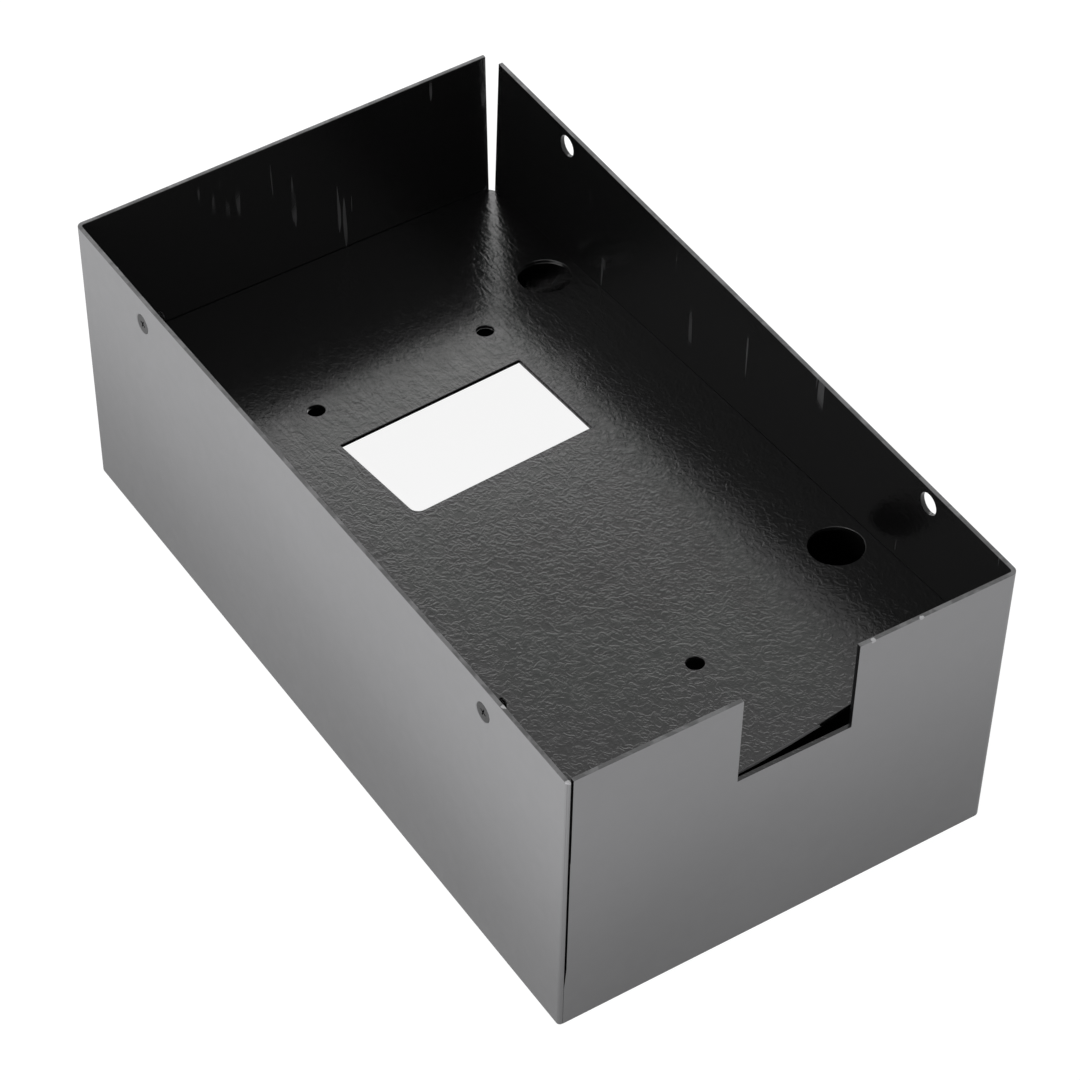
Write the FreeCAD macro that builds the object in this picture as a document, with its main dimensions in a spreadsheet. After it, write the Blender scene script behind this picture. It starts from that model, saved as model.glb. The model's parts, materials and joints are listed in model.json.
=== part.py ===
"""Open sheet metal chassis: two folded L-shaped wall sheets round a sloping shelf.

The long left wall and the back wall are one folded sheet, and the front wall and the long
right wall are another. Both sheets lean outwards a little towards the top, most of all at the
back wall's free end. They meet at an almost closed seam at the front left corner and at an
open V-shaped gap at the back right corner. The shelf between them falls towards the back; it
carries the four-sided cut-out, two cable holes and three small fixing holes. Two countersunk
screws sit in the left wall.

Everything is modelled in millimetres from the front left bottom corner of the box (+X across
the width, +Y along the length to the back wall, +Z up). Each piece's Placement then moves the
origin to the middle of the overall footprint.
"""

import FreeCAD, Part

import math
import os
import Sketcher

# Driving dimensions in millimetres (degrees for the two angles), each written once.
DRIVING = {
    "length": 228.0,           # outside at the base, front face to back face
    "width": 127.4,            # outside at the base, left face to right face
    "height": 86.8,            # all four walls
    "sheet": 1.2,              # thickness of the wall sheets
    "bend_inside": 0.8,        # inside radius of the two upright bends
    "edge_round": 1.0,         # rounding of the left wall's front edge
    "twist_first": 43.0,       # left wall upright up to here, then twisting outwards
    "twist_last": 186.0,       # left wall at its full lean from here to the bend
    "back_land": 5.0,          # back wall folded flat with the bend before it twists
    "left_lean": 1.4,          # back left bend out to the left at the top
    "rear_lean": 0.7,          # the same bend out to the back at the top
    "free_lean": 5.0,          # back wall's free end out to the back at the top
    "front_lean": 0.85,        # front right bend out to the front at the top
    "side_lean": 0.4,          # the same bend out to the right at the top
    "open_lean": 1.25,         # right wall's free end out to the right at the top
    "back_short": 1.3,         # back wall's free end, short of the right outer face
    "side_short": 0.65,        # right wall's free end, short of the back outer face
    "notch_left": 48.4,        # notch in the front wall, from the left outer face
    "notch_wide": 32.9,
    "notch_sill": 59.1,        # height of the notch's lower edge
    "seam_open": 0.65,         # front left seam, from its step to the top
    "seam_narrow": 0.55,       # the same seam below its step
    "seam_step": 58.5,         # height of the step in the seam
    "seam_parted": 20.0,       # height at which the seam has its lower width
    "seam_closed": 13.0,       # below this height the seam is shut
    "vent_bore": 6.2,          # the two clear holes in the right wall
    "vent_first": 32.9,        # the nearer one, from the front face
    "vent_pitch": 160.3,
    "vent_level": 82.0,
    "screw_first": 35.1,       # the nearer screw in the left wall, from the front face
    "screw_pitch": 159.0,
    "screw_level": 78.4,
    "screw_head": 5.5,         # head diameter
    "screw_shank": 3.0,
    "screw_long": 6.0,         # overall, from the head's top to the tip
    "screw_sunk": 0.12,        # head top below the wall's outer face
    "screw_play": 0.05,        # between the head's cone and its countersink
    "shelf_sheet": 1.2,
    "shelf_front": 58.95,      # height of its upper face in the plane of the front face
    "shelf_tilt": 4.03,        # degrees, falling to the back
    "shelf_play": 0.15,        # clearance to the back wall
    "lip_gap": 0.8,            # gap behind the front wall where the front edge is straight
    "lip_straight": 30.0,      # straight part of its front edge, from the left outer face
    "lip_sweep": 380.0,        # radius of the rest of its front edge, curving away
    "corner_round": 3.0,       # its free back right corner
    "corner_inner": 2.0,       # its back left corner, clear of the bend
    "window_front": 55.4,      # cut-out, along its front edge
    "window_rear": 57.0,       # along its rear edge, which runs further to the right
    "window_deep": 33.85,
    "window_right": 63.65,     # its centre, from the left outer face
    "window_back": 142.25,     # its centre, from the front along the shelf
    "window_turn": 3.4,        # degrees, anticlockwise seen from above
    "window_round": 2.6,       # its one rounded corner
    "pilot_bore": 4.7,         # three small fixing holes
    "pilot_pitch": 54.3,       # between the two behind the cut-out
    "pilot_shift": 1.95,       # middle of that pair to the right of the cut-out's centre
    "pilot_back": 32.45,       # that pair behind the cut-out's centre
    "pilot_front": 38.8,       # the single one, from the front along the shelf
    "pilot_right": 63.4,       # the single one, from the left outer face
    "cable_bore": 14.5,        # two cable holes beside the right wall
    "cable_right": 116.8,      # from the left outer face
    "cable_first": 54.0,       # the nearer one, from the front along the shelf
    "cable_pitch": 133.2,
}
SHEET_NAME = "sizes"
SHARED_LIMIT = 0.01            # cubic millimetres that two pieces may share


class Size:
    """A length that carries both its present value and its spreadsheet expression."""

    def __init__(self, value, text):
        self.value = value
        self.text = text

    @staticmethod
    def of(other):
        if isinstance(other, Size):
            return other
        return Size(float(other), repr(float(other)))

    def _join(self, other, sign, value):
        return Size(value, "(" + self.text + " " + sign + " " + other.text + ")")

    def __add__(self, other):
        other = Size.of(other)
        return self._join(other, "+", self.value + other.value)

    def __sub__(self, other):
        other = Size.of(other)
        return self._join(other, "-", self.value - other.value)

    def __mul__(self, other):
        other = Size.of(other)
        return self._join(other, "*", self.value * other.value)

    def __truediv__(self, other):
        other = Size.of(other)
        return self._join(other, "/", self.value / other.value)

    def __neg__(self):
        return ZERO - self

    def cos(self):
        return Size(math.cos(math.radians(self.value)), "cos(" + self.text + " * 1 deg)")

    def sin(self):
        return Size(math.sin(math.radians(self.value)), "sin(" + self.text + " * 1 deg)")

    def sqrt(self):
        return Size(math.sqrt(self.value), "sqrt(" + self.text + ")")


ZERO = Size(0.0, "0")


class Sizes:
    """The spreadsheet's cells, read by name as Size objects."""

    def __init__(self, doc):
        sheet = doc.addObject("Spreadsheet::Sheet", SHEET_NAME)
        for row, (alias, number) in enumerate(DRIVING.items(), start=1):
            cell = "B" + str(row)
            sheet.set("A" + str(row), alias)
            sheet.set(cell, str(number))
            sheet.setAlias(cell, alias)
        doc.recompute()
        for alias in DRIVING:
            setattr(self, alias, Size(float(sheet.get(alias)), SHEET_NAME + "." + alias))


def bind(thing, prop, size):
    """Set a property of an object to a Size and keep it tied to the spreadsheet."""
    size = Size.of(size)
    if "." not in prop:
        setattr(thing, prop, size.value)
    thing.setExpression(prop, size.text)


def origin_plane(body, role):
    for feature in body.Origin.OriginFeatures:
        if feature.Role == role:
            return feature
    raise ValueError("no plane " + role)


def new_sketch(body, name, role, lift=None):
    """Attach a new sketch to one of the body's own planes, raised along its normal."""
    sketch = body.newObject("Sketcher::SketchObject", name)
    sketch.AttachmentSupport = (origin_plane(body, role), [""])
    sketch.MapMode = "FlatFace"
    if lift is not None:
        lift = Size.of(lift)
        sketch.AttachmentOffset = FreeCAD.Placement(
            FreeCAD.Vector(0, 0, lift.value), FreeCAD.Rotation())
        sketch.setExpression("AttachmentOffset.Base.z", lift.text)
    return sketch


def pin_point(sketch, geometry, end, point):
    """Hold one end of a piece of geometry at a point given by two Sizes."""
    for axis, size in zip(("DistanceX", "DistanceY"), point):
        size = Size.of(size)
        index = sketch.addConstraint(
            Sketcher.Constraint(axis, -1, 1, geometry, end, size.value))
        sketch.setExpression("Constraints[" + str(index) + "]", size.text)


def vector(point):
    return FreeCAD.Vector(Size.of(point[0]).value, Size.of(point[1]).value, 0)


def draw_polygon(sketch, points):
    """A closed outline of straight lines through the given points."""
    lines = []
    for index, point in enumerate(points):
        after = points[(index + 1) % len(points)]
        lines.append(sketch.addGeometry(Part.LineSegment(vector(point), vector(after)), False))
    join_ring(sketch, lines)
    for line, point in zip(lines, points):
        pin_point(sketch, line, 1, point)
    return lines


def join_ring(sketch, edges):
    for index, edge in enumerate(edges):
        after = edges[(index + 1) % len(edges)]
        sketch.addConstraint(Sketcher.Constraint("Coincident", edge, 2, after, 1))


def draw_rounded(sketch, points, radii):
    """A closed anticlockwise outline whose listed corners are tangent arcs."""
    count = len(points)
    places = [vector(point) for point in points]
    starts = list(places)
    ends = list(places)
    arcs = {}
    for index, radius in radii.items():
        corner = places[index]
        back = (places[index - 1] - corner).normalize()
        ahead = (places[(index + 1) % count] - corner).normalize()
        half = back.getAngle(ahead) / 2
        reach = radius.value / math.tan(half)
        centre = corner + (back + ahead).normalize() * (radius.value / math.sin(half))
        ends[index] = corner + back * reach
        starts[index] = corner + ahead * reach
        hollow = back.cross(ahead).z > 0
        first, last = (starts[index], ends[index]) if hollow else (ends[index], starts[index])
        circle = Part.Circle(centre, FreeCAD.Vector(0, 0, 1), radius.value)
        arcs[index] = (hollow, Part.ArcOfCircle(
            circle, circle.parameter(first), circle.parameter(last)))
    lines = []
    for index in range(count):
        after = (index + 1) % count
        lines.append(sketch.addGeometry(Part.LineSegment(starts[index], ends[after]), False))
    for index, point in enumerate(points):
        before, line = lines[index - 1], lines[index]
        if index not in arcs:
            sketch.addConstraint(Sketcher.Constraint("Coincident", before, 2, line, 1))
            pin_point(sketch, line, 1, point)
            continue
        hollow, shape = arcs[index]
        arc = sketch.addGeometry(shape, False)
        enter, leave = (2, 1) if hollow else (1, 2)
        sketch.addConstraint(Sketcher.Constraint("Tangent", before, 2, arc, enter))
        sketch.addConstraint(Sketcher.Constraint("Tangent", arc, leave, line, 1))
        bound = sketch.addConstraint(Sketcher.Constraint("Radius", arc, radii[index].value))
        sketch.setExpression("Constraints[" + str(bound) + "]", radii[index].text)
        corner = sketch.addGeometry(Part.Point(places[index]), True)
        sketch.addConstraint(Sketcher.Constraint("PointOnObject", corner, 1, before))
        sketch.addConstraint(Sketcher.Constraint("PointOnObject", corner, 1, line))
        pin_point(sketch, corner, 1, point)


def draw_circle(sketch, centre, diameter):
    radius = Size.of(diameter) / 2
    circle = sketch.addGeometry(
        Part.Circle(vector(centre), FreeCAD.Vector(0, 0, 1), radius.value), False)
    pin_point(sketch, circle, 3, centre)
    index = sketch.addConstraint(Sketcher.Constraint("Radius", circle, radius.value))
    sketch.setExpression("Constraints[" + str(index) + "]", radius.text)


def pad(body, name, sketch, length, downwards=False):
    feature = body.newObject("PartDesign::Pad", name)
    feature.Profile = (sketch, [""])
    bind(feature, "Length", length)
    feature.Reversed = downwards
    return feature


def leaning_pad(body, name, sketch, height, lean):
    """Raise a sketch to a height along a direction that leans by two Sizes."""
    feature = pad(body, name, sketch, height)
    feature.UseCustomVector = True
    feature.Direction = FreeCAD.Vector(lean[0].value, lean[1].value, height.value)
    for axis, share in zip("xyz", (lean[0], lean[1], height)):
        feature.setExpression("Direction." + axis, share.text)
    feature.AlongSketchNormal = True
    body.Document.recompute()
    return feature


def pocket(body, name, sketch, depth, along_normal=False):
    """Cut a sketch to a depth, against its plane's normal unless along_normal is set."""
    body.Document.recompute()
    before = body.Shape.Volume
    feature = body.newObject("PartDesign::Pocket", name)
    feature.Profile = (sketch, [""])
    bind(feature, "Length", depth)
    feature.Reversed = along_normal
    body.Document.recompute()
    if body.Shape.Volume >= before:
        raise RuntimeError(name + " cut nothing")
    return feature


def leaning_walls(body, name, base, top, radii, height):
    """Walls ruled from their outline at the base to their outline at the top."""
    lower = new_sketch(body, name + "_base", "XY_Plane")
    draw_rounded(lower, base, radii)
    upper = new_sketch(body, name + "_top", "XY_Plane", height)
    draw_rounded(upper, top, radii)
    feature = body.newObject("PartDesign::AdditiveLoft", name)
    feature.Profile = (lower, [""])
    feature.Sections = [upper]
    feature.Ruled = True
    body.Document.recompute()
    return feature


def round_corner(body, name, corner, radius):
    """Fillet the one edge that rises or falls from the given corner in the base plane."""
    body.Document.recompute()
    tip = body.Tip
    corner = vector(corner)
    chosen = []
    for number, edge in enumerate(tip.Shape.Edges, start=1):
        ends = [v.Point for v in edge.Vertexes]
        at_corner = [p for p in ends if p.distanceToPoint(corner) < 0.01]
        if len(ends) == 2 and len(at_corner) == 1 and abs(ends[0].z - ends[1].z) > 0.5:
            chosen.append("Edge" + str(number))
    if len(chosen) != 1:
        raise RuntimeError(name + " found " + str(len(chosen)) + " edges")
    feature = body.newObject("PartDesign::Fillet", name)
    feature.Base = (tip, chosen)
    bind(feature, "Radius", radius)
    body.Document.recompute()
    return feature


def new_body(doc, name):
    body = doc.addObject("PartDesign::Body", name)
    body.Label = name
    return body


def place(thing, size, lift=ZERO):
    """Move a piece from the box's corner frame to the middle of the overall footprint."""
    bind(thing, "Placement.Base.x", -((size.width + size.open_lean - size.left_lean) / 2))
    bind(thing, "Placement.Base.y", -((size.length + size.free_lean - size.front_lean) / 2))
    bind(thing, "Placement.Base.z", lift)


def make_left_back_sheet(doc, size):
    """Left wall and back wall, folded from one sheet."""
    body = new_body(doc, "left_back_sheet")
    free_end = size.width - size.back_short
    inner_back = size.length - size.sheet
    first_seat, last_seat = screw_places(size)

    front = new_sketch(body, "left_wall_front_outline", "XY_Plane")
    draw_rounded(front, [
        (ZERO, ZERO),
        (size.sheet, ZERO),
        (size.sheet, size.twist_first),
        (ZERO, size.twist_first),
    ], {0: size.edge_round})
    pad(body, "left_wall_front", front, size.height)
    sink_screw_seat(body, size, "screw_seat_front", first_seat)

    leaning_walls(body, "left_wall_twist", [
        (ZERO, size.twist_first),
        (size.sheet, size.twist_first),
        (size.sheet, size.twist_last),
        (ZERO, size.twist_last),
    ], [
        (ZERO, size.twist_first),
        (size.sheet, size.twist_first),
        (size.sheet - size.left_lean, size.twist_last + size.rear_lean),
        (-size.left_lean, size.twist_last + size.rear_lean),
    ], {}, size.height)

    corner = new_sketch(body, "back_bend_outline", "XY_Plane")
    draw_rounded(corner, [
        (ZERO, size.twist_last),
        (size.sheet, size.twist_last),
        (size.sheet, inner_back),
        (size.back_land, inner_back),
        (size.back_land, size.length),
        (ZERO, size.length),
    ], {2: size.bend_inside, 5: size.bend_inside + size.sheet})
    leaning_pad(body, "back_bend", corner, size.height, (-size.left_lean, size.rear_lean))
    sink_screw_seat(body, size, "screw_seat_rear", last_seat)

    leaning_walls(body, "back_wall", [
        (size.back_land, inner_back),
        (free_end, inner_back),
        (free_end, size.length),
        (size.back_land, size.length),
    ], [
        (size.back_land - size.left_lean, inner_back + size.rear_lean),
        (free_end, inner_back + size.free_lean),
        (free_end, size.length + size.free_lean),
        (size.back_land - size.left_lean, size.length + size.rear_lean),
    ], {}, size.height)
    place(body, size)
    return body


def screw_places(size):
    """(x, y, z) of each screw's axis at the left wall's outer face."""
    return [
        (ZERO, size.screw_first, size.screw_level),
        (
            -(size.left_lean * size.screw_level / size.height),
            size.screw_first + size.screw_pitch,
            size.screw_level,
        ),
    ]


def sink_screw_seat(body, size, name, spot):
    """One countersink right through a flat stretch of the left wall."""
    face, along, level = spot
    over = size.screw_sunk
    mouth = size.screw_head / 2 + size.screw_sunk + size.screw_play + over
    deep = size.sheet + over * 2
    near = face - over
    body.Document.recompute()
    before = body.Shape.Volume
    seat = body.newObject("PartDesign::SubtractiveCone", name)
    seat.AttachmentSupport = (origin_plane(body, "YZ_Plane"), [""])
    seat.MapMode = "FlatFace"
    bind(seat, "Radius1", mouth)
    bind(seat, "Radius2", mouth - deep)
    bind(seat, "Height", deep)
    seat.AttachmentOffset = FreeCAD.Placement(
        FreeCAD.Vector(along.value, level.value, near.value), FreeCAD.Rotation())
    for axis, part in zip("xyz", (along, level, near)):
        seat.setExpression("AttachmentOffset.Base." + axis, part.text)
    body.Document.recompute()
    removed = before - body.Shape.Volume
    top = mouth.value - over.value
    root = top - size.sheet.value
    expected = math.pi * size.sheet.value * (top * top + top * root + root * root) / 3
    if abs(removed - expected) > 0.1 * expected:
        raise RuntimeError(name + " removed " + str(removed) + " of " + str(expected))


def make_front_right_sheet(doc, size):
    """Front wall and right wall, folded from one sheet."""
    body = new_body(doc, "front_right_sheet")
    inner_right = size.width - size.sheet
    free_end = size.length - size.side_short
    over = size.sheet
    base = [
        (size.sheet, ZERO),
        (size.width, ZERO),
        (size.width, free_end),
        (inner_right, free_end),
        (inner_right, size.sheet),
        (size.sheet, size.sheet),
    ]
    top = [
        (size.sheet, ZERO),
        (size.width + size.side_lean, -size.front_lean),
        (size.width + size.open_lean, free_end),
        (inner_right + size.open_lean, free_end),
        (inner_right + size.side_lean, size.sheet - size.front_lean),
        (size.sheet, size.sheet),
    ]
    radii = {1: size.bend_inside + size.sheet, 4: size.bend_inside}
    leaning_walls(body, "front_right_walls", base, top, radii, size.height)

    in_front = size.front_lean + over
    through_front = in_front + size.sheet + over
    notch = new_sketch(body, "front_notch_outline", "XZ_Plane", in_front)
    draw_polygon(notch, [
        (size.notch_left, size.notch_sill),
        (size.notch_left + size.notch_wide, size.notch_sill),
        (size.notch_left + size.notch_wide, size.height + over),
        (size.notch_left, size.height + over),
    ])
    pocket(body, "front_notch", notch, through_front)

    seam = new_sketch(body, "front_seam_outline", "XZ_Plane", in_front)
    draw_polygon(seam, [
        (size.sheet, size.seam_closed),
        (size.sheet + size.seam_narrow, size.seam_parted),
        (size.sheet + size.seam_narrow, size.seam_step),
        (size.sheet + size.seam_open, size.seam_step),
        (size.sheet + size.seam_open, size.height + over),
        (ZERO, size.height + over),
        (ZERO, size.seam_closed),
    ])
    pocket(body, "front_seam", seam, through_front)

    bores = new_sketch(body, "right_wall_holes_outline", "YZ_Plane", inner_right - over)
    for step in (0, 1):
        centre = (size.vent_first + size.vent_pitch * step, size.vent_level)
        draw_circle(bores, centre, size.vent_bore)
    through_side = over + size.sheet + size.open_lean + over
    pocket(body, "right_wall_holes", bores, through_side, along_normal=True)

    place(body, size)
    return body


def draw_shelf_outline(sketch, size):
    """The shelf's outline in its own plane; its front edge curves away to the right."""
    slope = size.shelf_tilt.cos()
    drop = size.length * size.shelf_tilt.sin() / slope
    front_share = (size.shelf_front - size.shelf_sheet) / size.height
    back_share = (size.shelf_front - size.shelf_sheet - drop) / size.height
    inner_right = size.width - size.sheet
    inner_back = size.length - size.sheet - size.shelf_play
    right_front = inner_right + size.side_lean * front_share
    front = (size.sheet + size.lip_gap) / slope
    run = right_front - size.lip_straight
    sag = size.lip_sweep - (size.lip_sweep * size.lip_sweep - run * run).sqrt()
    bend_corner = (
        size.sheet - size.left_lean * back_share,
        (inner_back + size.rear_lean * back_share) / slope,
    )
    free_corner = (
        inner_right + size.open_lean * back_share,
        (inner_back + size.free_lean * back_share) / slope,
    )
    points = [
        (size.sheet, front),
        (size.lip_straight, front),
        (right_front, front + sag),
        free_corner,
        bend_corner,
        (bend_corner[0], size.twist_last / slope),
        (size.sheet, size.twist_first / slope),
    ]
    edges = []
    for index, point in enumerate(points):
        after = points[(index + 1) % len(points)]
        if index == 1:
            centre = vector((size.lip_straight, front + size.lip_sweep))
            circle = Part.Circle(centre, FreeCAD.Vector(0, 0, 1), size.lip_sweep.value)
            curve = Part.ArcOfCircle(
                circle, circle.parameter(vector(point)), circle.parameter(vector(after)))
        else:
            curve = Part.LineSegment(vector(point), vector(after))
        edges.append(sketch.addGeometry(curve, False))
    join_ring(sketch, edges)
    for edge, point in zip(edges, points):
        pin_point(sketch, edge, 1, point)
    index = sketch.addConstraint(
        Sketcher.Constraint("Radius", edges[1], size.lip_sweep.value))
    sketch.setExpression("Constraints[" + str(index) + "]", size.lip_sweep.text)
    return free_corner, bend_corner


def make_shelf(doc, size):
    """The sloping inner panel with its cut-out and holes."""
    body = new_body(doc, "shelf")
    outline = new_sketch(body, "shelf_outline", "XY_Plane")
    free_corner, bend_corner = draw_shelf_outline(outline, size)
    pad(body, "shelf_plate", outline, size.shelf_sheet, downwards=True)
    round_corner(body, "shelf_free_corner", free_corner, size.corner_round)
    round_corner(body, "shelf_bend_corner", bend_corner, size.corner_inner)

    window = new_sketch(body, "window_outline", "XY_Plane")
    turn_sketch(window, (size.window_right, size.window_back), size.window_turn)
    left = -((size.window_front + size.window_rear) / 4)
    half_deep = size.window_deep / 2
    lines = draw_polygon(window, [
        (left, -half_deep),
        (left + size.window_front, -half_deep),
        (left + size.window_rear, half_deep),
        (left, half_deep),
    ])
    round_sketch_corner(window, lines[3], lines[0], size.window_round)
    for side in (-1, 1):
        centre = (size.pilot_shift + size.pilot_pitch / 2 * side, size.pilot_back)
        draw_circle(window, centre, size.pilot_bore)
    pocket(body, "window", window, size.shelf_sheet)

    holes = new_sketch(body, "shelf_holes_outline", "XY_Plane")
    draw_circle(holes, (size.pilot_right, size.pilot_front), size.pilot_bore)
    for step in (0, 1):
        centre = (size.cable_right, size.cable_first + size.cable_pitch * step)
        draw_circle(holes, centre, size.cable_bore)
    pocket(body, "shelf_holes", holes, size.shelf_sheet)

    body.Placement = FreeCAD.Placement(
        FreeCAD.Vector(0, 0, 0),
        FreeCAD.Rotation(FreeCAD.Vector(-1, 0, 0), size.shelf_tilt.value))
    bind(body, "Placement.Rotation.Angle", size.shelf_tilt)
    place(body, size, size.shelf_front)
    return body


def turn_sketch(sketch, centre, angle):
    """Give a sketch its own centre and turn within the plane that it is attached to."""
    sketch.AttachmentOffset = FreeCAD.Placement(
        vector(centre), FreeCAD.Rotation(FreeCAD.Vector(0, 0, 1), angle.value))
    sketch.setExpression("AttachmentOffset.Base.x", centre[0].text)
    sketch.setExpression("AttachmentOffset.Base.y", centre[1].text)
    sketch.setExpression("AttachmentOffset.Rotation.Angle", angle.text)


def round_sketch_corner(sketch, before, after, radius):
    """Round the corner between two lines of a sketch."""
    sketch.fillet(before, after, FreeCAD.Vector(-1, 0, 0), FreeCAD.Vector(0, -1, 0),
                  radius.value, True, True)


def make_wall_screws(doc, size):
    """Two countersunk screws in the left wall: separate solids in one group."""
    screws = []
    for number, spot in enumerate(screw_places(size), start=1):
        screws.append(make_screw(doc, size, number, spot))
    group = doc.addObject("Part::Compound", "wall_screws")
    group.Links = screws
    group.Label = "wall_screws"
    place(group, size)
    return group


def make_screw(doc, size, number, spot):
    """One screw along +X from its spot, its head's flat top just under the outer face."""
    tag = "_" + str(number)
    face, along, level = spot
    head_radius = size.screw_head / 2
    shank_radius = size.screw_shank / 2
    head_deep = head_radius - shank_radius
    head = doc.addObject("Part::Cone", "screw_cone" + tag)
    bind(head, "Radius1", head_radius)
    bind(head, "Radius2", shank_radius)
    bind(head, "Height", head_deep)
    shank = doc.addObject("Part::Cylinder", "screw_thread" + tag)
    bind(shank, "Radius", shank_radius)
    bind(shank, "Height", size.screw_long - head_deep)
    for solid, start in ((head, ZERO), (shank, head_deep)):
        solid.Placement = FreeCAD.Placement(
            FreeCAD.Vector(0, 0, 0), FreeCAD.Rotation(FreeCAD.Vector(0, 1, 0), 90))
        bind(solid, "Placement.Base.x", face + size.screw_sunk + start)
        bind(solid, "Placement.Base.y", along)
        bind(solid, "Placement.Base.z", level)
    screw = doc.addObject("Part::Fuse", "screw" + tag)
    screw.Base = head
    screw.Tool = shank
    return screw


def check_document(doc, pieces):
    """Stop before anything is written if an object failed or a piece is not sound."""
    doc.recompute()
    for thing in doc.Objects:
        if "Invalid" in thing.State or "Error" in thing.State:
            raise RuntimeError("failed object " + thing.Name)
    for piece in pieces:
        shape = piece.Shape
        if shape.isNull() or not shape.isValid() or not shape.Solids:
            raise RuntimeError("bad shape " + piece.Label)
        box = shape.BoundBox
        print(piece.Label, len(shape.Solids), "solid", round(shape.Volume, 2), "mm3",
              [round(v, 2) for v in (box.XMin, box.XMax, box.YMin, box.YMax, box.ZMin, box.ZMax)])


def check_fit(pieces, size):
    """Stop if the shelf does not fall to the back or two pieces share any volume."""
    shapes = {piece.Label: piece.Shape for piece in pieces}
    if shapes["shelf"].BoundBox.ZMax > size.shelf_front.value:
        raise RuntimeError("the shelf does not fall to the back")
    labels = sorted(shapes)
    for index, first in enumerate(labels):
        for second in labels[index + 1:]:
            shared = shapes[first].common(shapes[second]).Volume
            if shared > SHARED_LIMIT:
                raise RuntimeError(first + " and " + second + " overlap")


def main():
    doc = FreeCAD.newDocument("sheet_metal_chassis")
    size = Sizes(doc)
    pieces = [
        make_left_back_sheet(doc, size),
        make_front_right_sheet(doc, size),
        make_shelf(doc, size),
        make_wall_screws(doc, size),
    ]
    check_document(doc, pieces)
    check_fit(pieces, size)
    os.makedirs("parts", exist_ok=True)
    for piece in pieces:
        piece.Shape.exportStep(os.path.join("parts", piece.Label + ".step"))


main()
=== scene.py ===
"""Finished look of the open sheet metal chassis: paint, screws, floor, lamps and camera."""

from __future__ import annotations

import json
import logging
import math
from dataclasses import dataclass, field
from enum import Enum

import bmesh
import bpy
from mathutils import Matrix, Vector

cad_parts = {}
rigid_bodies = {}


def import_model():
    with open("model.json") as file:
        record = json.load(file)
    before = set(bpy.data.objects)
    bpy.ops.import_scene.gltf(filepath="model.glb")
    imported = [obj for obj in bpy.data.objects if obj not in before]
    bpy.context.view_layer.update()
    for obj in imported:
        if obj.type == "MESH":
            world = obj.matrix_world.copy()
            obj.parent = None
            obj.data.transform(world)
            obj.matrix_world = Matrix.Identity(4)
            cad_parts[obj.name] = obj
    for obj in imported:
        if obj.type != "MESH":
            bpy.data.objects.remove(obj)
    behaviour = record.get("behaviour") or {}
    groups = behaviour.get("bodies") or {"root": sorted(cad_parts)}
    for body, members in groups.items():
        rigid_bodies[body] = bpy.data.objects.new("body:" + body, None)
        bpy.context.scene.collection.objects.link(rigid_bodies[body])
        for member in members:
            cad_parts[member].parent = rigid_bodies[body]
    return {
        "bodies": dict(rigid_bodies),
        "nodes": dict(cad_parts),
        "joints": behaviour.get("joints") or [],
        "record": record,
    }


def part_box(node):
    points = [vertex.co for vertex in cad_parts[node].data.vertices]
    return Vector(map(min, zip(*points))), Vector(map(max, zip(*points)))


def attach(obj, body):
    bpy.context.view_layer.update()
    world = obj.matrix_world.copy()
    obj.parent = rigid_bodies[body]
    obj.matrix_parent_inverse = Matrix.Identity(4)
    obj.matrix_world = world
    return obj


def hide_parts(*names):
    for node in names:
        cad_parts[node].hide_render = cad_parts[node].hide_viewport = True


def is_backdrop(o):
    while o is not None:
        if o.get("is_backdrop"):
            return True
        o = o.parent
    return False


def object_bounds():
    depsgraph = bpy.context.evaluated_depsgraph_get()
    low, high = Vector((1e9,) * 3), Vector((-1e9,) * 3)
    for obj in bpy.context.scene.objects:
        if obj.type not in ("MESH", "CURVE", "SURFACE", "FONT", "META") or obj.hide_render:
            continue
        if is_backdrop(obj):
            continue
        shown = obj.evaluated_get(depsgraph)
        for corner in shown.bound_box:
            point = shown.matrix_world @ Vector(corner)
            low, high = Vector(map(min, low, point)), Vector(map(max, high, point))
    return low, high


LOG = logging.getLogger("chassis")
MM = 0.001
SHEETS = ("left_back_sheet", "front_right_sheet", "shelf")
WHITE = (1.0, 1.0, 1.0, 1.0)

Triple = tuple[float, float, float]
Rectangle = tuple[float, float, float, float]


class Blend(Enum):
    """How two colours are combined."""

    MIX = "MIX"
    MULTIPLY = "MULTIPLY"


class Axis(Enum):
    """A component of a vector socket."""

    X = "X"
    Y = "Y"
    Z = "Z"


@dataclass(frozen=True)
class Grain:
    """A noise pattern: features per metre, octaves, distortion, stretch and turn about Z."""

    scale: float
    detail: float = 2.0
    warp: float = 0.0
    stretch: Triple | None = None
    turn: float = 0.0


@dataclass(frozen=True)
class Span:
    """The two values between which a ramp rises from zero to one."""

    low: float
    high: float


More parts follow.
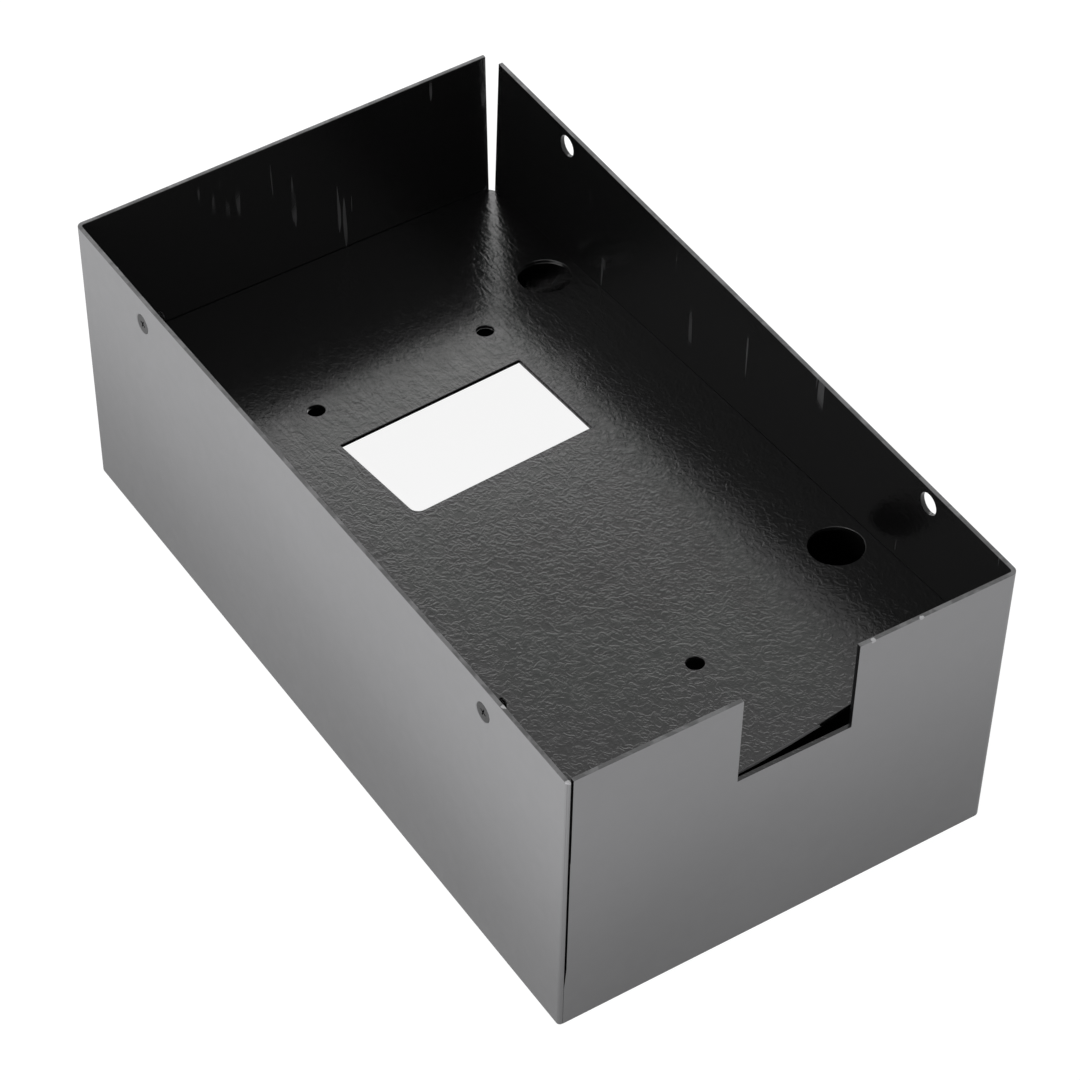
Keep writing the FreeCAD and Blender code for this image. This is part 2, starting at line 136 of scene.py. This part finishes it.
class Wire:
    """A shader value that can be used in Python arithmetic."""

    def __init__(self, surface: Surface, socket: bpy.types.NodeSocket) -> None:
        """Wrap one output socket.

        Args:
            surface: The material that the socket belongs to.
            socket: The socket.
        """
        self.surface = surface
        self.socket = socket

    def _math(self, operation: str, *values: Wire | float) -> Wire:
        """Add a Math node.

        Args:
            operation: The node's operation.
            values: Its inputs, in order.

        Returns:
            The node's result.
        """
        return self.surface.node(
            "ShaderNodeMath", {"operation": operation}, dict(enumerate(values))
        )

    def __add__(self, other: Wire | float) -> Wire:
        """Sum."""
        return self._math("ADD", self, other)

    def __radd__(self, other: float) -> Wire:
        """Sum with a number in front."""
        return self._math("ADD", other, self)

    def __sub__(self, other: Wire | float) -> Wire:
        """Difference."""
        return self._math("SUBTRACT", self, other)

    def __rsub__(self, other: float) -> Wire:
        """Difference with a number in front."""
        return self._math("SUBTRACT", other, self)

    def __mul__(self, other: Wire | float) -> Wire:
        """Product."""
        return self._math("MULTIPLY", self, other)

    def __rmul__(self, other: float) -> Wire:
        """Product with a number in front."""
        return self._math("MULTIPLY", other, self)

    def __gt__(self, other: Wire | float) -> Wire:
        """One where this is greater, else zero."""
        return self._math("GREATER_THAN", self, other)

    def __lt__(self, other: Wire | float) -> Wire:
        """One where this is less, else zero."""
        return self._math("LESS_THAN", self, other)

    def maximum(self, other: Wire | float) -> Wire:
        """The larger of the two.

        Args:
            other: The value compared with.

        Returns:
            The larger value.
        """
        return self._math("MAXIMUM", self, other)

    def absolute(self) -> Wire:
        """The value without its sign.

        Returns:
            The absolute value.
        """
        return self._math("ABSOLUTE", self)

    def ramp(self, span: Span) -> Wire:
        """Rise smoothly from 0 to 1 over a span.

        Args:
            span: Where the rise begins and ends.

        Returns:
            The mapped value.
        """
        return self.surface.node(
            "ShaderNodeMapRange",
            {"interpolation_type": "SMOOTHSTEP"},
            {"Value": self, "From Min": span.low, "From Max": span.high},
            "Result",
        )


Value = Wire | float | tuple[float, ...]


class Surface:
    """A material under construction."""

    def __init__(self, name: str) -> None:
        """Create an empty node material.

        Args:
            name: The material's name.
        """
        self.material = bpy.data.materials.new(name)
        self.material.use_nodes = True
        self.tree = self.material.node_tree
        self.tree.nodes.clear()

    def node(
        self,
        kind: str,
        settings: dict[str, object] | None = None,
        inputs: dict[str | int, Value] | None = None,
        output: str | int = 0,
    ) -> Wire:
        """Add any node.

        Args:
            kind: The node's type.
            settings: Properties that are set first.
            inputs: Values or links for its sockets.
            output: The output socket that is returned.

        Returns:
            The chosen output.
        """
        made = self.tree.nodes.new(kind)
        for key, value in (settings or {}).items():
            setattr(made, key, value)
        for key, value in (inputs or {}).items():
            if isinstance(value, Wire):
                self.tree.links.new(value.socket, made.inputs[key])
            else:
                made.inputs[key].default_value = value
        return Wire(self, made.outputs[output])

    def place(self) -> Wire:
        """The point in the object's own metres.

        Returns:
            Its coordinates.
        """
        return self.node("ShaderNodeTexCoord", output="Object")

    def part_of(self, vector: Wire, axis: Axis) -> Wire:
        """One component of a vector.

        Args:
            vector: The vector.
            axis: Which component.

        Returns:
            The component.
        """
        return self.node("ShaderNodeSeparateXYZ", None, {0: vector}, axis.value)

    def noise(self, place: Wire, grain: Grain) -> Wire:
        """Fractal noise.

        Args:
            place: Coordinates.
            grain: The pattern.

        Returns:
            A value about 0.5.
        """
        if grain.stretch:
            place = self.node(
                "ShaderNodeMapping",
                None,
                {"Vector": place, "Scale": grain.stretch, "Rotation": (0.0, 0.0, grain.turn)},
            )
        inputs = {
            "Vector": place,
            "Scale": grain.scale,
            "Detail": grain.detail,
            "Distortion": grain.warp,
        }
        return self.node("ShaderNodeTexNoise", None, inputs, "Fac")

    def blend(self, factor: Value, first: Value, second: Value, how: Blend = Blend.MIX) -> Wire:
        """Mix two colours.

        Args:
            factor: Share of the second.
            first: First colour.
            second: Second colour.
            how: The kind of mix.

        Returns:
            The mixed colour.
        """
        return self.node(
            "ShaderNodeMix",
            {"data_type": "RGBA", "blend_type": how.value},
            {0: factor, 6: first, 7: second},
            2,
        )

    def bump(self, height: Wire, depth: float, over: Wire | None = None) -> Wire:
        """Normals from a height.

        Args:
            height: The relief.
            depth: Its depth in metres.
            over: Normals that the relief lies on, if they aren't the mesh's own.

        Returns:
            The normal.
        """
        inputs: dict[str | int, Value] = {"Height": height, "Distance": depth, "Strength": 1.0}
        if over is not None:
            inputs["Normal"] = over
        return self.node("ShaderNodeBump", None, inputs)

    def diffuse(self, level: float) -> Wire:
        """A matt grey shader.

        Args:
            level: How light it is.

        Returns:
            The shader.
        """
        return self.node("ShaderNodeBsdfDiffuse", None, {"Color": grey(level)})

    def finish(self, shader: Wire) -> bpy.types.Material:
        """Connect the shader to the output.

        Args:
            shader: The finished shader.

        Returns:
            The material.
        """
        end = self.tree.nodes.new("ShaderNodeOutputMaterial")
        self.tree.links.new(shader.socket, end.inputs["Surface"])
        return self.material


def grey(level: float) -> tuple[float, float, float, float]:
    """An opaque grey with a trace of blue.

    Args:
        level: Its linear level.

    Returns:
        The colour.
    """
    return (level, level, level * 1.02, 1.0)


def largest(masks: list[Wire]) -> Wire:
    """Join masks.

    Args:
        masks: One or more masks.

    Returns:
        One where any of them is one.
    """
    joined = masks[0]
    for mask in masks[1:]:
        joined = joined.maximum(mask)
    return joined


def settle(shape: bmesh.types.BMesh, name: str) -> bpy.types.Object:
    """Turn a bmesh into a linked object and free it.

    Args:
        shape: The bmesh.
        name: The name of the mesh and the object.

    Returns:
        The object.
    """
    mesh = bpy.data.meshes.new(name)
    shape.to_mesh(mesh)
    shape.free()
    return link(name, mesh)


def link(name: str, data: bpy.types.ID) -> bpy.types.Object:
    """Put an object with that data into the scene.

    Args:
        name: The object's name.
        data: Its mesh, light or camera.

    Returns:
        The object.
    """
    made = bpy.data.objects.new(name, data)
    bpy.context.collection.objects.link(made)
    return made


def stand_in(piece: bpy.types.Object, node: str) -> None:
    """Let a finished piece stand for its solid.

    Args:
        piece: The finished piece.
        node: The solid's node.
    """
    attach(piece, "root")
    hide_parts(node)


@dataclass(frozen=True)
class Chip:
    """A place on a rim where the paint is gone."""

    centre: Triple
    reach: float


@dataclass(frozen=True)
class BrushedPaint:
    """Black gloss paint, thick and wrinkled inside, thin and satin on the outer faces, which
    are painted lighter, with painted shade towards the foot.

    The levels are linear greys; half_width, half_length and top bound the outer faces.
    """

    half_width: float
    half_length: float
    top: float
    inside: float = 0.0035
    # Painted light: the outer faces get a lighter grey than the near-black inside.
    painted_light_outside: float = 0.17
    # Grey of the up-facing top rims: partly wear, partly a painted highlight.
    rim_highlight_and_wear: float = 0.10
    scratch_level: float = 0.09
    scratch_share: float = 0.45
    chip_level: float = 0.30
    # Painted shade of the outer faces: their tone at the foot and how much it rises to the top.
    painted_shade_foot: float = 0.45
    painted_shade_rise: float = 0.52
    cloud_tone: float = 0.05
    index: float = 1.52
    wrinkle_depth: float = 0.030 * MM
    skin_depth: float = 0.004 * MM
    edge_band: float = 0.7 * MM
    chip_band: float = 3.5 * MM
    worm: Grain = Grain(520.0, 2.5, 1.6, (1.0, 0.8, 1.0), 0.5)
    blotch: Grain = Grain(230.0, 1.5, 0.8)
    streak: Grain = Grain(620.0, 2.0, 0.9, (1.0, 0.25, 0.22), -0.55)
    scratch: Grain = Grain(420.0, 1.0, 0.2, (1.0, 1.0, 0.05))
    patch: Grain = Grain(38.0, 1.0)
    worn: Grain = Grain(700.0, 2.0, 0.5, (0.3, 0.3, 1.0))
    cloud: Grain = Grain(9.0, 2.0, 0.4)
    fine: Grain = Grain(2600.0)
    crumble: Grain = Grain(900.0, 2.0, 0.5)
    facing_out: Span = Span(0.55, 0.8)
    facing_up: Span = Span(0.6, 0.9)
    off_level: Span = Span(0.2, 0.5)
    rearward: Span = Span(-0.02, 0.06)
    marks: tuple[Chip, ...] = (
        Chip((-0.0625, -0.0885, 0.0868), 0.8 * MM),
        Chip((-0.0628, -0.1155, 0.0866), 0.7 * MM),
        Chip((0.0215, -0.1163, 0.0867), 0.7 * MM),
        Chip((0.0355, -0.1165, 0.0868), 0.6 * MM),
        Chip((-0.0634, 0.0920, 0.0868), 0.7 * MM),
    )

    def build(self) -> bpy.types.Material:
        """Make the material.

        Returns:
            The material.
        """
        surface = Surface("black_paint")
        place = surface.place()
        normal = surface.node("ShaderNodeNewGeometry", output="True Normal")
        upward = surface.part_of(normal, Axis.Z)
        height = surface.part_of(place, Axis.Z)
        outer = self.outer_mask(surface, normal, place)
        inner = 1.0 - outer
        blotch = surface.noise(place, self.blotch)
        scratched = self.scratches(surface, place, upward) * inner
        # Painted highlight with wear: up-facing top rims are drawn lighter, broken up by noise.
        rim = upward.ramp(self.facing_up) * (height > (self.top - self.edge_band))

        worn = surface.noise(place, self.worn).ramp(Span(0.45, 0.6))
        colour = self.wall_colour_and_painted_shade(surface, place, height, outer)
        colour = surface.blend(rim * (0.5 + worn * 0.5), colour, grey(self.rim_highlight_and_wear))
        colour = surface.blend(
            scratched * self.scratch_share, colour, grey(self.scratch_level)
        )
        colour = surface.blend(
            self.chips(surface, place, height), colour, grey(self.chip_level)
        )

        rough = 0.15 + blotch * 0.08 + outer * 0.30 + scratched * 0.25 + rim * 0.15
        relief = (self.wrinkles(surface, place) + blotch * 0.5) * inner
        coarse = surface.bump(relief, self.wrinkle_depth)
        skin = surface.bump(surface.noise(place, self.fine), self.skin_depth, coarse)
        inputs = {"Base Color": colour, "Roughness": rough, "Normal": skin, "IOR": self.index}
        return surface.finish(surface.node("ShaderNodeBsdfPrincipled", None, inputs))

    def outer_mask(self, surface: Surface, normal: Wire, place: Wire) -> Wire:
        """Find the four outer faces.

        Args:
            surface: The material.
            normal: The face's direction.
            place: The point.

        Returns:
            One on the outer faces, zero elsewhere.
        """
        sides = []
        for axis, reach in ((Axis.X, self.half_width), (Axis.Y, self.half_length)):
            facing = surface.part_of(normal, axis)
            position = surface.part_of(place, axis)
            for sign in (-1.0, 1.0):
                beyond = (position * sign) > reach
                sides.append((facing * sign).ramp(self.facing_out) * beyond)
        return largest(sides)

    def wall_colour_and_painted_shade(self, surface: Surface, place: Wire, height: Wire, outer: Wire) -> Wire:
        """The paint's colour, with painted shade that darkens the outer faces towards the foot.

        Args:
            surface: The material.
            place: The point.
            height: Its height.
            outer: The mask of the outer faces.

        Returns:
            The colour.
        """
        # Painted light: the outer faces are drawn a lighter grey than the near-black inside.
        base_with_painted_light = surface.blend(outer, grey(self.inside), grey(self.painted_light_outside))
        cloud = surface.noise(place, self.cloud).ramp(Span(0.3, 0.7))
        # Painted shade: the outer faces darken from the top down to the foot, with random cloud
        # on top.
        rise = height.ramp(Span(0.0, self.top))
        tone = self.painted_shade_foot + rise * self.painted_shade_rise + cloud * self.cloud_tone
        shade = surface.node("ShaderNodeCombineColor", None, dict.fromkeys(range(3), tone))
        return surface.blend(outer, base_with_painted_light, shade, Blend.MULTIPLY)

    def wrinkles(self, surface: Surface, place: Wire) -> Wire:
        """Worm-like wrinkles in front that turn into upright streaks at the rear.

        Args:
            surface: The material.
            place: The point.

        Returns:
            Their height.
        """
        rear = surface.part_of(place, Axis.Y).ramp(self.rearward)
        worms = surface.noise(place, self.worm).ramp(Span(0.38, 0.66))
        streaks = surface.noise(place, self.streak).ramp(Span(0.4, 0.62))
        return worms * (1.0 - rear * 0.55) + streaks * rear * 0.6

    def scratches(self, surface: Surface, place: Wire, upward: Wire) -> Wire:
        """Upright scratches in patches on the walls.

        Args:
            surface: The material.
            place: The point.
            upward: How far the face looks up or down.

        Returns:
            Their mask.
        """
        lines = surface.noise(place, self.scratch).ramp(Span(0.69, 0.72))
        patches = surface.noise(place, self.patch).ramp(Span(0.56, 0.66))
        return lines * patches * (1.0 - upward.absolute().ramp(self.off_level))

    def chips(self, surface: Surface, place: Wire, height: Wire) -> Wire:
        """Ragged chips along the rims.

        Args:
            surface: The material.
            place: The point.
            height: Its height.

        Returns:
            Their mask.
        """
        crumble = surface.noise(place, self.crumble) - 0.5
        spots = []
        for mark in self.marks:
            away = surface.node(
                "ShaderNodeVectorMath",
                {"operation": "DISTANCE"},
                {0: place, 1: mark.centre},
                "Value",
            )
            spots.append((away + crumble * (mark.reach * 1.6)) < mark.reach)
        return largest(spots) * (height > (self.top - self.chip_band))


@dataclass(frozen=True)
class ScrewSteel:
    """Dull blackened steel of the screws, worn brighter in places."""

    dark: float = 0.008
    bright: float = 0.07
    polished: float = 0.28
    dulled: float = 0.2
    wear: Grain = Grain(1500.0, 3.0, 0.6)
    pits: Grain = Grain(3000.0)
    pit_depth: float = 0.01 * MM

    def build(self) -> bpy.types.Material:
        """Make the material.

        Returns:
            The material.
        """
        surface = Surface("screw_metal")
        place = surface.place()
        wear = surface.noise(place, self.wear).ramp(Span(0.42, 0.62))
        inputs = {
            "Base Color": surface.blend(wear, grey(self.dark), grey(self.bright)),
            "Roughness": self.polished + wear * self.dulled,
            "Metallic": 1.0,
            "Normal": surface.bump(surface.noise(place, self.pits), self.pit_depth),
        }
        return surface.finish(surface.node("ShaderNodeBsdfPrincipled", None, inputs))


@dataclass(frozen=True)
class PaleFloor:
    """White floor with a painted shadow below the part, left out where the floor is seen
    through the cut-out.
    """

    glow: float = 0.90
    shade: float = 0.16
    albedo: float = 0.80
    # Painted shadow: the floor under the part is drawn near black for the eye's rays, except
    # below the cut-out.
    painted_shadow_level: float = 0.01
    painted_shadow_area: Rectangle = (-0.0622, 0.0622, -0.1146, 0.1105)
    below_cut_out: Rectangle = (-0.0065, 0.0620, 0.0460, 0.0930)

    def build(self) -> bpy.types.Material:
        """Make the material.

        Returns:
            The material.
        """
        surface = Surface("pale_floor")
        place = surface.place()
        clear = 1.0 - self.within(surface, place, self.below_cut_out)
        # Painted shadow on the floor under the part, left out below the cut-out.
        shaded = self.within(surface, place, self.painted_shadow_area) * clear
        white = surface.node(
            "ShaderNodeEmission", None, {"Color": WHITE, "Strength": self.glow}
        )
        matt = surface.diffuse(self.shade)
        bright = surface.node("ShaderNodeAddShader", None, {0: matt, 1: white})
        shown = surface.node(
            "ShaderNodeMixShader", None, {0: shaded, 1: bright, 2: surface.diffuse(self.painted_shadow_level)}
        )
        mixed = {0: self.seen(surface), 1: surface.diffuse(self.albedo), 2: shown}
        return surface.finish(surface.node("ShaderNodeMixShader", None, mixed))

    @staticmethod
    def within(surface: Surface, place: Wire, limits: Rectangle) -> Wire:
        """Find a rectangle of the floor.

        Args:
            surface: The material.
            place: The point.
            limits: Low and high X, low and high Y.

        Returns:
            One inside it.
        """
        x, y = surface.part_of(place, Axis.X), surface.part_of(place, Axis.Y)
        return (x > limits[0]) * (x < limits[1]) * (y > limits[2]) * (y < limits[3])

    @staticmethod
    def seen(surface: Surface) -> Wire:
        """Find the rays that the eye follows.

        Args:
            surface: The material.

        Returns:
            One for camera, mirror and see-through rays.
        """
        return largest(
            [
                surface.node("ShaderNodeLightPath", output=name)
                for name in ("Is Camera Ray", "Is Glossy Ray", "Is Transmission Ray")
            ]
        )


@dataclass(frozen=True)
class SheetPiece:
    """A folded sheet or plate with rounded arrises, made from its solid."""

    node: str
    paint: bpy.types.Material
    arris: float = 0.22 * MM
    arris_steps: int = 3
    weld: float = 0.002 * MM
    flat: float = math.radians(0.3)
    sharp: float = math.radians(38.0)

    def build(self, frame: dict) -> bpy.types.Object:
        """Make the finished piece and let it stand for its solid.


        Returns:
            The piece.
        """
        shape = bmesh.new()
        shape.from_mesh(frame["nodes"][self.node].data)
        bmesh.ops.remove_doubles(shape, verts=shape.verts, dist=self.weld)
        bmesh.ops.dissolve_limit(
            shape, angle_limit=self.flat, verts=shape.verts, edges=shape.edges
        )
        for face in shape.faces:
            face.smooth = True
        piece = settle(shape, self.node + "_finished")
        piece.data.materials.append(self.paint)
        rounding = piece.modifiers.new("arris", "BEVEL")
        rounding.width = self.arris
        rounding.segments = self.arris_steps
        rounding.limit_method = "ANGLE"
        rounding.angle_limit = self.sharp
        rounding.use_clamp_overlap = True
        even = piece.modifiers.new("even", "WEIGHTED_NORMAL")
        even.mode = "FACE_AREA"
        even.weight = 100
        stand_in(piece, self.node)
        LOG.info("%s: %d faces before rounding", self.node, len(piece.data.polygons))
        return piece


@dataclass
class WallScrews:
    """Cross-recessed countersunk screws in the left wall."""

    steel: bpy.types.Material
    head_radius: float = 2.75 * MM
    shank_radius: float = 1.5 * MM
    length: float = 6.0 * MM
    rim: float = 0.10 * MM
    neck: float = 0.05 * MM
    tip: float = 0.3 * MM
    tip_share: float = 0.6
    pitch: float = 0.5 * MM
    thread_depth: float = 0.28 * MM
    thread_steps: int = 80
    recess_reach: float = 1.45 * MM
    recess_width: float = 0.62 * MM
    recess_depth: float = 0.9 * MM
    recess_turn: float = 0.35
    recess_taper: float = 0.55
    around: int = 48
    sockets: dict[str, str] = field(default_factory=dict)

    def thread_reach(self, depth: float, index: int) -> float:
        """Radius of the thread.

        Args:
            depth: Distance from the head's face.
            index: Which point of the ring.

        Returns:
            The radius there.
        """
        phase = (depth / self.pitch - index / self.around) % 1.0
        return self.shank_radius - self.thread_depth * abs(2.0 * phase - 1.0)

    def ring(self, shape: bmesh.types.BMesh, depth: float, radius: float | None) -> list:
        """One ring of the screw's outline.

        Args:
            shape: The screw under construction.
            depth: Distance from the head's face.
            radius: The ring's radius, or None on the thread.

        Returns:
            Its points.
        """
        points = []
        for index in range(self.around):
            angle = math.tau * index / self.around
            reach = self.thread_reach(depth, index) if radius is None else radius
            points.append(
                shape.verts.new((depth, reach * math.cos(angle), reach * math.sin(angle)))
            )
        return points

    def single(self) -> bpy.types.Object:
        """One screw with its axis along +X and its head's face at the origin.

        Returns:
            The screw.
        """
        shape = bmesh.new()
        cone = self.head_radius - self.shank_radius
        start = cone + self.neck
        run = self.length - self.tip - start
        rows = [
            (0.0, self.head_radius - self.rim),
            (self.rim, self.head_radius),
            (cone, self.shank_radius),
        ]
        rows += [
            (start + run * step / self.thread_steps, None)
            for step in range(self.thread_steps + 1)
        ]
        rows.append((self.length, self.shank_radius * self.tip_share))
        rings = [self.ring(shape, depth, radius) for depth, radius in rows]
        for near, far in zip(rings, rings[1:]):
            for index in range(self.around):
                after = (index + 1) % self.around
                shape.faces.new((near[index], near[after], far[after], far[index]))
        shape.faces.new(list(reversed(rings[0])))
        shape.faces.new(rings[-1])
        bmesh.ops.recalc_face_normals(shape, faces=shape.faces)
        return settle(shape, "screw_blank")

    def recess(self) -> bpy.types.Object:
        """The cross-shaped punch that sinks the recess.

        Returns:
            The punch.
        """
        shape = bmesh.new()
        size = Matrix.Diagonal(
            (self.recess_depth * 2, self.recess_reach * 2, self.recess_width, 1.0)
        )
        for turn in (self.recess_turn, self.recess_turn + math.pi / 2):
            block = bmesh.ops.create_cube(shape, size=1.0)["verts"]
            bmesh.ops.transform(shape, matrix=Matrix.Rotation(turn, 4, "X") @ size, verts=block)
            for vertex in block:
                if vertex.co.x > 0:
                    vertex.co.y *= self.recess_taper
                    vertex.co.z *= self.recess_taper
        return settle(shape, "cross_punch")

    def tree(self) -> bpy.types.NodeTree:
        """Node tree that repeats the screw along a line.

        Returns:
            The tree.
        """
        tree = bpy.data.node_groups.new("screw_row", "GeometryNodeTree")
        for name, kind, way in (
            ("Geometry", "NodeSocketGeometry", "INPUT"),
            ("Count", "NodeSocketInt", "INPUT"),
            ("First", "NodeSocketVector", "INPUT"),
            ("Step", "NodeSocketVector", "INPUT"),
            ("Finish", "NodeSocketMaterial", "INPUT"),
            ("Geometry", "NodeSocketGeometry", "OUTPUT"),
        ):
            made = tree.interface.new_socket(name, in_out=way, socket_type=kind)
            if way == "INPUT":
                self.sockets[name] = made.identifier
        given = tree.nodes.new("NodeGroupInput")
        result = tree.nodes.new("NodeGroupOutput")
        line = tree.nodes.new("GeometryNodeMeshLine")
        line.mode = "OFFSET"
        repeat = tree.nodes.new("GeometryNodeInstanceOnPoints")
        real = tree.nodes.new("GeometryNodeRealizeInstances")
        coat = tree.nodes.new("GeometryNodeSetMaterial")
        for source, name, target, socket in (
            (given, "Count", line, "Count"),
            (given, "First", line, "Start Location"),
            (given, "Step", line, "Offset"),
            (line, "Mesh", repeat, "Points"),
            (given, "Geometry", repeat, "Instance"),
            (repeat, "Instances", real, "Geometry"),
            (real, "Geometry", coat, "Geometry"),
            (given, "Finish", coat, "Material"),
            (coat, "Geometry", result, "Geometry"),
        ):
            tree.links.new(source.outputs[name], target.inputs[socket])
        return tree

    def build(self) -> bpy.types.Object:
        """Make both screws where their solids are.

        Returns:
            The finished piece.
        """
        low, high = (Vector(corner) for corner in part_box("wall_screws"))
        radius = self.head_radius
        first = Vector((high.x - self.length, low.y + radius, low.z + radius))
        step = Vector((low.x - first.x, high.y - low.y - 2 * radius, 0.0))
        blank = self.single()
        punch = self.recess()
        sink = blank.modifiers.new("recess", "BOOLEAN")
        sink.operation = "DIFFERENCE"
        sink.solver = "EXACT"
        sink.operand_type = "OBJECT"
        sink.use_self = True
        sink.object = punch
        row = blank.modifiers.new("row", "NODES")
        row.node_group = self.tree()
        given = {"Count": 2, "First": first, "Step": step, "Finish": self.steel}
        for name, value in given.items():
            row[self.sockets[name]] = value
        bpy.context.view_layer.update()
        ready = blank.evaluated_get(bpy.context.evaluated_depsgraph_get())
        mesh = bpy.data.meshes.new_from_object(ready)
        for scrap in (blank, punch):
            bpy.data.objects.remove(scrap, do_unlink=True)
        piece = link("wall_screws_finished", mesh)
        stand_in(piece, "wall_screws")
        LOG.info("wall_screws: %d faces", len(mesh.polygons))
        return piece


@dataclass(frozen=True)
class SoftLamp:
    """A rectangular studio lamp aimed at the part."""

    name: str
    place: Triple
    aim: Triple
    wide: float
    high: float
    power: float

    def build(self) -> bpy.types.Object:
        """Place the lamp.

        Returns:
            The lamp.
        """
        light = bpy.data.lights.new(self.name, "AREA")
        light.shape = "RECTANGLE"
        light.size = self.wide
        light.size_y = self.high
        light.energy = self.power
        lamp = link(self.name, light)
        lamp.location = self.place
        ray = Vector(self.aim) - Vector(self.place)
        lamp.rotation_euler = ray.to_track_quat("-Z", "Y").to_euler()
        return lamp


@dataclass(frozen=True)
class Studio:
    """Floor, surroundings, lamps and camera."""

    world_level: float = 0.85
    floor_reach: float = 6.0
    floor_drop: float = 0.02 * MM
    eye: Triple = (-0.403555, -0.604095, 0.75529)
    gaze: Triple = (0.39793, 0.58692, -0.70511)
    crown: Triple = (0.37366, 0.59825, 0.70885)
    lens: float = 132.79
    sensor: float = 36.0
    sight: Span = Span(0.01, 50.0)
    lamps: tuple[SoftLamp, ...] = (
        SoftLamp("rear_softbox", (0.61, 1.055, 0.69), (0.0, 0.0, 0.05), 0.9, 0.37, 2.6),
        SoftLamp("left_softbox", (-1.1, -0.15, 0.45), (0.0, 0.0, 0.04), 1.0, 0.8, 9.0),
        SoftLamp("front_softbox", (-0.15, -1.2, 0.5), (0.0, 0.0, 0.04), 0.9, 0.7, 0.8),
    )

    def build(self) -> None:
        """Make everything round the part."""
        self.floor()
        self.surroundings()
        for lamp in self.lamps:
            lamp.build()
        self.camera()
        bpy.context.scene.view_settings.view_transform = "Standard"

    def floor(self) -> None:
        """The floor that the part stands on."""
        shape = bmesh.new()
        bmesh.ops.create_grid(shape, x_segments=1, y_segments=1, size=self.floor_reach)
        plate = settle(shape, "floor")
        plate.data.materials.append(PaleFloor().build())
        plate.location.z = -self.floor_drop
        plate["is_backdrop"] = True

    def surroundings(self) -> None:
        """An even pale world that is white behind the part."""
        world = bpy.data.worlds.new("studio")
        world.use_nodes = True
        bpy.context.scene.world = world
        tree = world.node_tree
        shade = tree.nodes["Background"]
        shade.inputs["Color"].default_value = WHITE
        path = tree.nodes.new("ShaderNodeLightPath")
        level = tree.nodes.new("ShaderNodeMapRange")
        level.inputs["To Min"].default_value = self.world_level
        level.inputs["To Max"].default_value = 1.0
        tree.links.new(path.outputs["Is Camera Ray"], level.inputs["Value"])
        tree.links.new(level.outputs["Result"], shade.inputs["Strength"])

    def camera(self) -> None:
        """The camera above the front left corner."""
        data = bpy.data.cameras.new("camera")
        data.lens = self.lens
        data.sensor_width = self.sensor
        data.clip_start = self.sight.low
        data.clip_end = self.sight.high
        camera = link("camera", data)
        back = -Vector(self.gaze).normalized()
        right = Vector(self.crown).cross(back).normalized()
        turn = Matrix((right, back.cross(right), back)).transposed().to_4x4()
        camera.matrix_world = Matrix.Translation(Vector(self.eye)) @ turn
        bpy.context.scene.camera = camera


def main() -> None:
    """Build the scene."""
    logging.basicConfig(level=logging.INFO, format="%(name)s: %(message)s")
    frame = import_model()
    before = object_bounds()
    low, high = (Vector(corner) for corner in before)
    paint = BrushedPaint(
        half_width=-low.x - 2.2 * MM, half_length=high.y - 5.6 * MM, top=high.z
    ).build()
    for node in SHEETS:
        SheetPiece(node, paint).build(frame)
    WallScrews(ScrewSteel().build()).build()
    Studio().build()


if __name__ == "__main__":
    main()
